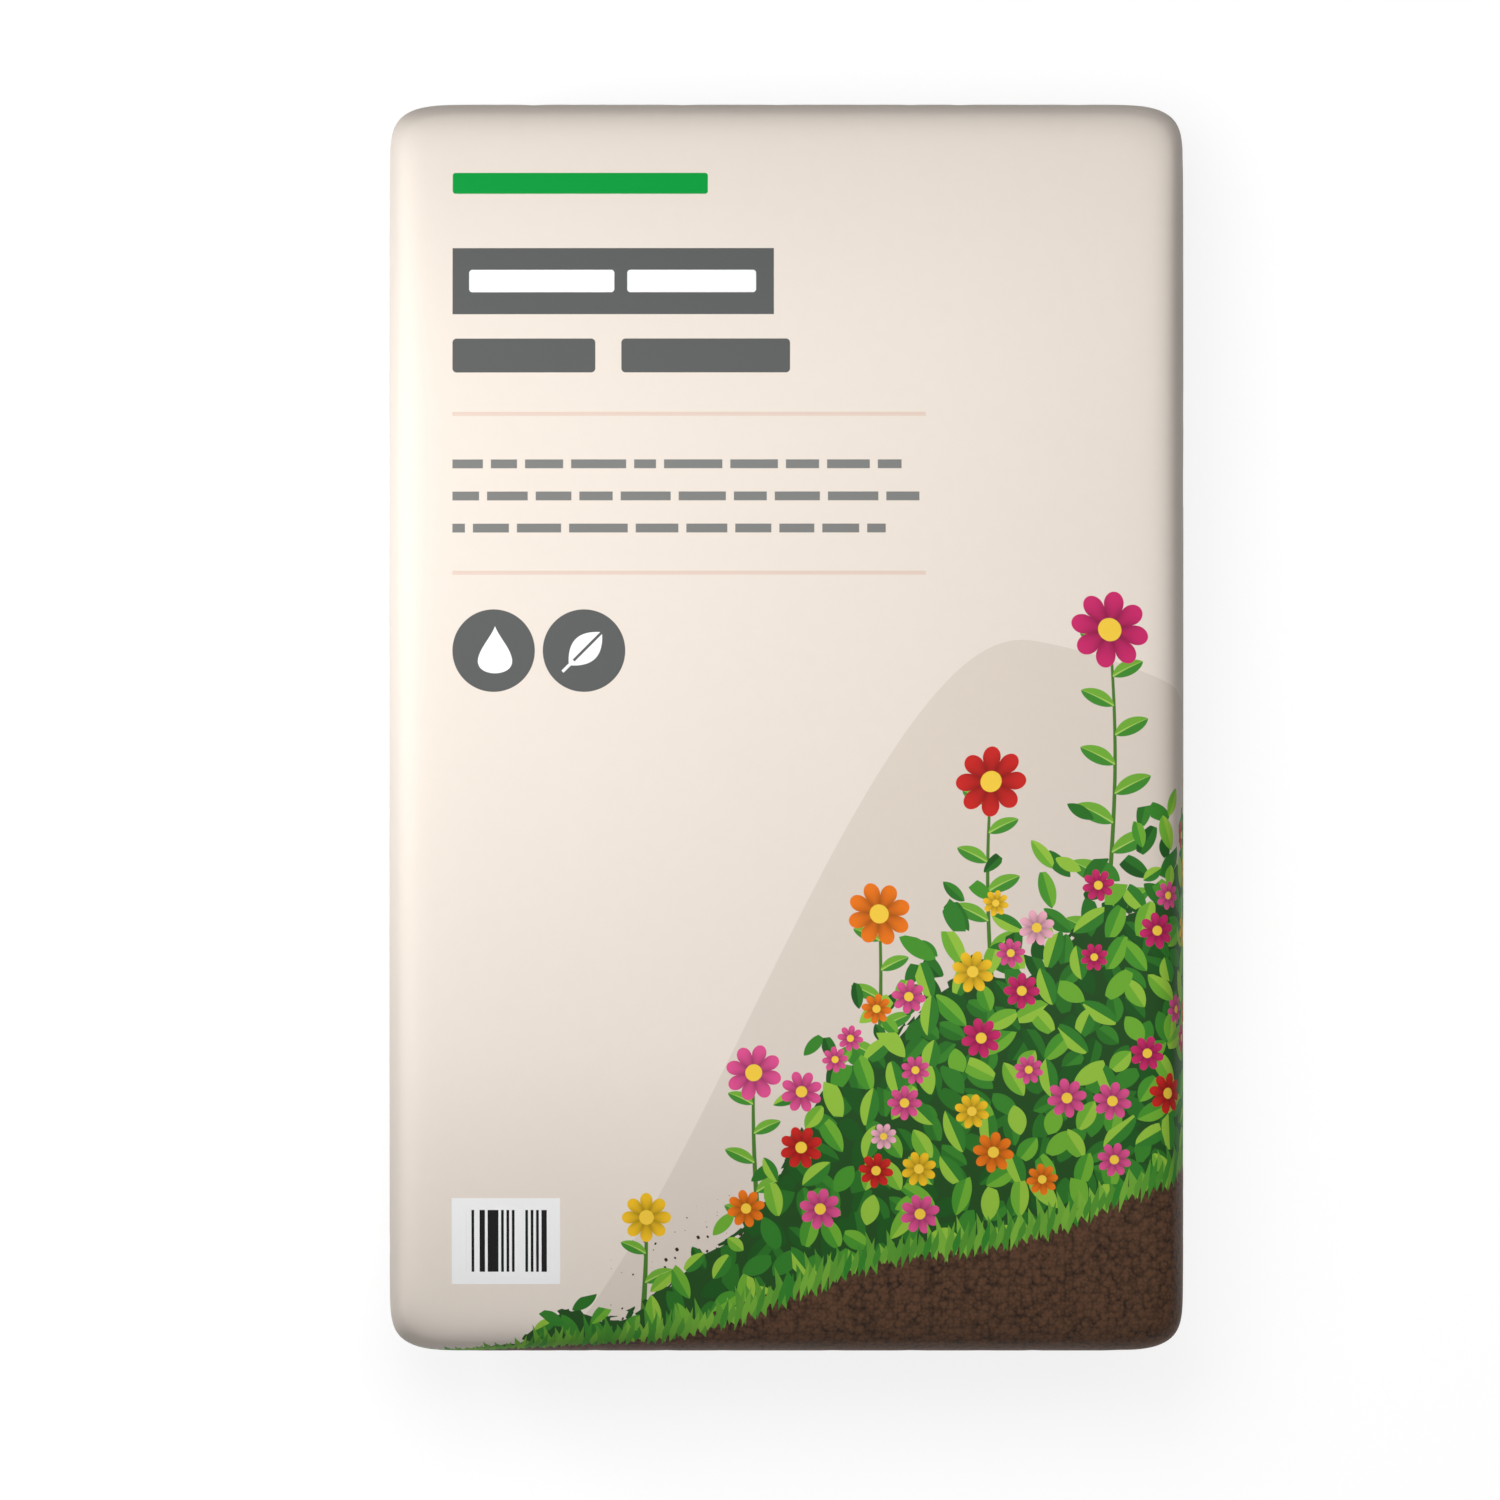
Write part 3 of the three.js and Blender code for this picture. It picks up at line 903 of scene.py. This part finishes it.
BEIGE = ink(237, 226, 215)
BUMP_STRENGTH, BUMP_HEIGHT = 0.35, 0.12 * MM
SHINE = 0.1
TINT_RANGE = 0.05


class PrintedFilm:
    """A film material that inks are laid on."""

    def __init__(self, name):
        self.material = bpy.data.materials.new(name)
        self.material.use_nodes = True
        self.tree = self.material.node_tree
        self.colour = BEIGE
        self.coords = self.tree.nodes.new("ShaderNodeTexCoord")
        spare = self.tree.nodes.new("ShaderNodeAttribute")
        spare.attribute_name = "film_spare"
        self.film = self.tree.nodes.new("ShaderNodeVectorMath")
        self.film.operation = "MULTIPLY_ADD"
        self.film.inputs[1].default_value = (1 / MM, 1 / MM, 0)
        self.tree.links.new(self.coords.outputs["Object"], self.film.inputs[0])
        self.tree.links.new(spare.outputs["Vector"], self.film.inputs[2])

    def place(self):
        """X and Y on the unrolled film, in millimetres."""
        split = self.tree.nodes.new("ShaderNodeSeparateXYZ")
        self.tree.links.new(self.film.outputs[0], split.inputs[0])
        return Field(self.tree, split.outputs[0]), Field(self.tree, split.outputs[1])

    def shape(self, group, **values):
        """Puts a printed shape on the film and returns its outputs by name."""
        node = self.tree.nodes.new("ShaderNodeGroup")
        node.node_tree = group
        self.tree.links.new(self.film.outputs[0], node.inputs["Film"])
        for label, value in values.items():
            node.inputs[label].default_value = value
        return {socket.name: Field(self.tree, socket) for socket in node.outputs}

    def mixed(self, below, above, factor, blend="MIX"):
        """One colour over another, as far as a factor says."""
        node = self.tree.nodes.new("ShaderNodeMix")
        node.data_type, node.blend_type = "RGBA", blend
        for label, value in (("A", below), ("B", above), ("Factor", factor)):
            slot = node.inputs[label]
            if isinstance(value, (tuple, float)):
                slot.default_value = value
            else:
                self.tree.links.new(getattr(value, "socket", value), slot)
        return node.outputs["Result"]

    def lay(self, mask, colour):
        """Lays an ink over the colour so far."""
        self.colour = self.mixed(self.colour, colour, mask)

    def choose(self, field, colours):
        """A colour for each even step of a field from 0 to 1."""
        node = self.tree.nodes.new("ShaderNodeValToRGB")
        self.tree.links.new(field.socket, node.inputs[0])
        node.color_ramp.interpolation = "CONSTANT"
        stops = node.color_ramp.elements
        while len(stops) < len(colours):
            stops.new(1.0)
        for k, colour in enumerate(colours):
            stops[k].position, stops[k].color = k / len(colours), colour
        return node.outputs["Color"]

    def finish(self):
        """Adds the film's skin and returns the material."""
        shader, skin = self.tree.nodes["Principled BSDF"], self.tree.nodes.new("ShaderNodeGroup")
        bump = self.tree.nodes.new("ShaderNodeBump")
        skin.node_tree = skin_group
        bump.inputs["Strength"].default_value = BUMP_STRENGTH
        bump.inputs["Distance"].default_value = BUMP_HEIGHT
        shader.inputs["Specular IOR Level"].default_value = SHINE
        tint = Field(self.tree, skin.outputs["Tint"]) * TINT_RANGE + (1 - TINT_RANGE / 2)
        self.tree.links.new(self.coords.outputs["Object"], skin.inputs["Place"])
        self.tree.links.new(skin.outputs["Roughness"], shader.inputs["Roughness"])
        self.tree.links.new(skin.outputs["Height"], bump.inputs["Height"])
        self.tree.links.new(bump.outputs["Normal"], shader.inputs["Normal"])
        self.tree.links.new(self.mixed(self.colour, tint, 1.0, "MULTIPLY"), shader.inputs["Base Color"])
        print(self.material.name, "has", len(self.tree.nodes), "nodes")
        return self.material


plain_film = PrintedFilm("plain_film").finish()

# %% [markdown]
# ## Label inks
# The left of the front holds the label: a slim green bar, a grey panel with two white bars, two heavy grey
# bars, two fine rules with three rows of short bars between them, two grey discs with a drop and a leaf,
# and a white panel with dark stripes near the foot. All of them are plain shapes, and nothing on them can
# be read.

# %% Label
GREY = ink(92, 94, 93)
WHITE = ink(252, 252, 252)
LEFT_MARGIN = -142.6
RULE_LENGTH = 202.0

label = PrintedFilm("label_print")


def bar(left, bottom, width, height, corner, colour):
    """Prints a bar with rounded corners. Lengths are in millimetres on the film."""
    shape = label.shape(bar_group, Left=left, Bottom=bottom, Width=width, Height=height, Corner=corner)
    label.lay(shape["Mask"], colour)


bar(LEFT_MARGIN, 228.0, 109.0, 9.0, 1.2, ink(0, 156, 62))
bar(LEFT_MARGIN, 176.4, 137.2, 28.3, 0.1, GREY)
bar(-135.5, 185.8, 62.0, 9.6, 1.4, WHITE)
bar(-68.0, 185.8, 55.0, 9.6, 1.4, WHITE)
bar(LEFT_MARGIN, 151.5, 61.0, 14.5, 1.8, GREY)
bar(-70.5, 151.5, 72.0, 14.5, 1.8, GREY)
for level in (133.0, 65.2):
    bar(LEFT_MARGIN, level, RULE_LENGTH, 1.7, 0.1, ink(228, 206, 192))
rows = label.shape(rows_group, Left=LEFT_MARGIN, Top=114.4, Pitch=13.7, Length=RULE_LENGTH, Thickness=3.8)
label.lay(rows["Mask"], ink(128, 129, 127))

DISC_HEIGHT, DISC_RADIUS, SIGN_SIZE = 32.8, 17.6, 10.5
for centre, sign in ((-125.0, drop_sign), (-86.4, leaf_sign)):
    label.lay(label.shape(disc_group, X=centre, Y=DISC_HEIGHT, Radius=DISC_RADIUS)["Mask"], GREY)
    label.lay(label.shape(sign, X=centre + 0.6, Y=DISC_HEIGHT + 0.8, Size=SIGN_SIZE)["Mask"], WHITE)

STRIPE_WIDTH = 1.15
bar(-143.0, -237.8, 46.3, 36.9, 0.1, WHITE)
stripe = chance((label.place()[0] / STRIPE_WIDTH).floor(), 3.0).over(0.45)
stripes = label.shape(bar_group, Left=-136.85, Bottom=-232.5, Width=34.5, Height=26.5, Corner=0.1)["Mask"]
label.lay(stripe * stripes, ink(24, 24, 24))
label_print = label.finish()

# %% [markdown]
# ## Garden inks
# The garden is laid from back to front: pale hills, thrown crumbs, stems, leaves, flowers, soil and the
# grass edge. Petals darken towards the eye, because a real petal is deeper in colour where it is folded.

# %% Garden
PINK, MAGENTA, RED = ink(226, 84, 146), ink(206, 44, 108), ink(204, 40, 36)
YELLOW, ORANGE, BLUSH = ink(247, 196, 40), ink(240, 122, 26), ink(244, 178, 196)
DARK_GREENS = [ink(30, 84, 30), ink(44, 112, 38), ink(58, 132, 44)]
FRESH_GREENS = [ink(72, 148, 46), ink(112, 176, 54), ink(150, 196, 66), ink(52, 126, 44)]

garden = PrintedFilm("garden_print")
film_x, film_y = garden.place()
soil = garden.shape(soil_group)
far_hill = film_x.ramp(-138, 105) * 330 - 290 - (film_x - 70).most(0).power(2) * 0.0024
garden.lay((film_y - far_hill).inside(), ink(225, 213, 201))
near_hill = film_x.ramp(-96, 190) * 200 - 285
garden.lay((film_y - near_hill).inside(), ink(212, 198, 186))
garden.lay(soil["Crumbs"], ink(58, 40, 30))


def lay_flowers(flowers, kind, colours):
    """Lays petals in a colour for each kind, and a yellow eye over them."""
    shade = flowers["Depth"].ramp(0.1, 0.95) * 0.6 + 0.4
    petals = garden.mixed(garden.choose(kind, colours), shade, 1.0, "MULTIPLY")
    garden.lay(flowers["Petals"], petals)
    garden.lay(flowers["Eye"], ink(250, 208, 70))


stems = garden.shape(plant_group)
garden.lay(stems["Stem"], ink(74, 122, 44))
garden.lay(stems["Leaf"], garden.choose(stems["Half"] * 0.9, [ink(66, 140, 48), ink(116, 176, 58)]))
garden.lay(stems["Vein"], ink(168, 206, 98))
lay_flowers(stems, stems["Kind"] / 5 + 0.02, [YELLOW, PINK, ORANGE, RED, MAGENTA])

garden.lay(soil["Shade"], ink(34, 74, 30))
for group, greens in ((low_leaves, DARK_GREENS), (high_leaves, FRESH_GREENS)):
    leaves = garden.shape(group)
    garden.lay(leaves["Mask"], garden.choose(leaves["Tone"] * 0.8 + leaves["Half"] * 0.19, greens))
flowers = garden.shape(flower_group)
lay_flowers(flowers, flowers["Kind"], [PINK, MAGENTA, BLUSH, RED, YELLOW, MAGENTA, ORANGE, PINK])

garden.lay(soil["Bank"], garden.mixed(ink(96, 68, 50), ink(34, 24, 18), soil["Clods"]))
garden.lay(soil["Grass"], garden.mixed(ink(48, 128, 42), ink(126, 182, 62), soil["Blade"]))
garden_print = garden.finish()

# %% [markdown]
# Each face takes its material from its place on the film. The label keeps the left column and the upper
# left, the garden has the lower right and wraps the edges down to the seam, and all the rest is plain.

# %% Give each face its film
FILMS = [plain_film, label_print, garden_print]
FRONT_SHARE = 0.75
GARDEN_TOP = 60

# Right and lower limit of each zone of the label.
LABEL_ZONES = ((-92, -243), (-60, 8), (66, 60))


def film_place(index):
    """X and Y of a vertex on the unrolled film, in millimetres."""
    return bag_mesh.vertices[index].co.xy / MM + spares[index].vector.xy


def on_front(face):
    """Whether the whole face is on the front half."""
    return min(spares[k].vector.z for k in face.vertices) > FRONT_SHARE


def film_of(face):
    """Which of the three films a face of the bag is."""
    if not on_front(face):
        return FILMS.index(plain_film)
    x, y = sum((film_place(k) for k in face.vertices), Vector((0, 0))) / len(face.vertices)
    if any(x < right and y > foot for right, foot in LABEL_ZONES):
        return FILMS.index(label_print)
    return FILMS.index(garden_print if y < GARDEN_TOP else plain_film)


spares = bag_mesh.attributes["film_spare"].data
for material in FILMS:
    bag_mesh.materials.append(material)
for face in bag_mesh.polygons:
    face.material_index = film_of(face)
for seal in seals:
    seal.data.materials.append(plain_film)
counts = [sum(face.material_index == k for face in bag_mesh.polygons) for k in range(len(FILMS))]
print("faces:", dict(zip((material.name for material in FILMS), counts)))

# %% [markdown]
# An export bakes the nodes into a picture, through a UV map. The unrolled film is the best map for a bag:
# the printed front fills most of the square, evenly and in one piece. The plain back lies small beside it,
# with its walls folded out.

# %% Lay the film out flat for a bake
FRONT_MIDDLE, FRONT_SCALE = Vector((0.345, 0.5)), 0.98 / 650
BACK_MIDDLE, BACK_SCALE = Vector((0.843, 0.5)), 0.29 / 600
WALL_SPREAD = 2.2
SQUARENESS = 9


def back_place(index):
    """A place on the back, in millimetres, with the walls spread outwards by their height."""
    x, y, z = bag_mesh.vertices[index].co / MM
    away = Vector((x / HALF_WIDTH * MM, y / HALF_LENGTH * MM))
    away = Vector([math.copysign(abs(v) ** SQUARENESS, v) for v in away]).normalized()
    return Vector((x, y)) + away * z * WALL_SPREAD


layout = bag_mesh.uv_layers.new(name="OFBake")
for face in bag_mesh.polygons:
    front = on_front(face)
    for corner in face.loop_indices:
        index = bag_mesh.loops[corner].vertex_index
        if front:
            layout.data[corner].uv = FRONT_MIDDLE + film_place(index) * FRONT_SCALE
        else:
            layout.data[corner].uv = BACK_MIDDLE + back_place(index) * BACK_SCALE
reach = [sorted(spot.uv[axis] for spot in layout.data) for axis in (0, 1)]
print("bake map from", [round(r[0], 3) for r in reach], "to", [round(r[-1], 3) for r in reach])

# %% [markdown]
# ## Light and floor
# Five soft lamps light the bag. Two hang over the panel, near the head and near the middle, so that it
# darkens slowly towards the foot. A small low one brightens the left edge, one at the right fills in, and a
# far one beyond the foot lights the lower wall. One big lamp could do it, but then some edge would be too
# dark or too bright.

# %% Lamps
LAMP_TARGET = Vector((0, 0.02, 0.08))
LAMPS = {
    "top_lamp": {"place": (-0.15, 0.30, 1.00), "size": 0.8, "power": 5.35},
    "middle_lamp": {"place": (0.0, 0.10, 1.00), "size": 0.6, "power": 1.85},
    "left_lamp": {"place": (-0.55, 0.10, 0.20), "size": 0.25, "power": 1.42},
    "right_lamp": {"place": (0.70, 0.10, 1.20), "size": 0.8, "power": 1.7},
    "foot_lamp": {"place": (0.0, -2.36, 1.20), "size": 0.9, "power": 7.0},
}

for name, lamp in LAMPS.items():
    light = bpy.data.lights.new(name, "AREA")
    light.shape, light.size, light.energy = "DISK", lamp["size"], lamp["power"]
    holder = bpy.data.objects.new(name, light)
    holder.location = lamp["place"]
    holder.rotation_euler = (LAMP_TARGET - Vector(lamp["place"])).to_track_quat("-Z", "Y").to_euler()
    bpy.context.scene.collection.objects.link(holder)
print("lamps:", list(LAMPS))

# %% [markdown]
# The world and the floor look white, but they light the bag only a little. A Light Path node tells the rays
# apart: those of the camera, of reflections and through glass see white, and all others find a dim world
# and a grey floor.

# %% World and floor
WORLD_LIGHT = 0.12
FLOOR_SIZE = 12.0
FLOOR_GREY, FLOOR_GLOW, FLOOR_ROUGHNESS = 0.25, 0.82, 0.9


def shown(tree):
    """1 for the rays that show a surface, 0 for those that only carry light."""
    path = tree.nodes.new("ShaderNodeLightPath")
    seen = Field(tree, path.outputs["Is Camera Ray"])
    for kind in ("Is Glossy Ray", "Is Transmission Ray"):
        seen = seen.most(Field(tree, path.outputs[kind]))
    return seen


world = bpy.data.worlds.new("studio")
bpy.context.scene.world = world
world.use_nodes = True
background = world.node_tree.nodes["Background"]
background.inputs["Color"].default_value = (1, 1, 1, 1)
strength = shown(world.node_tree) * (1 - WORLD_LIGHT) + WORLD_LIGHT
world.node_tree.links.new(strength.socket, background.inputs["Strength"])

floor_grid = bmesh.new()
bmesh.ops.create_grid(floor_grid, x_segments=1, y_segments=1, size=FLOOR_SIZE)
floor_mesh = bpy.data.meshes.new("floor")
floor_grid.to_mesh(floor_mesh)
floor_grid.free()
floor = bpy.data.objects.new("floor", floor_mesh)
bpy.context.scene.collection.objects.link(floor)

floor_material = bpy.data.materials.new("studio_floor")
floor_material.use_nodes = True
floor_tree = floor_material.node_tree
floor_shader = floor_tree.nodes["Principled BSDF"]
floor_shader.inputs["Base Color"].default_value = (FLOOR_GREY, FLOOR_GREY, FLOOR_GREY, 1)
floor_shader.inputs["Roughness"].default_value = FLOOR_ROUGHNESS
floor_shader.inputs["Emission Color"].default_value = (1, 1, 1, 1)
glow = shown(floor_tree) * FLOOR_GLOW
floor_tree.links.new(glow.socket, floor_shader.inputs["Emission Strength"])
floor_mesh.materials.append(floor_material)

bpy.context.scene.view_settings.view_transform = "Standard"
print("world light:", WORLD_LIGHT, "floor reaches, m:", FLOOR_SIZE)

# %% [markdown]
# ## Hand over
# The bag stands for the solid of the frame and moves with its only body.

# %% Ride and finish
for piece in (bag, *seals):
    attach(piece, "root")
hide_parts("topsoil_bag")
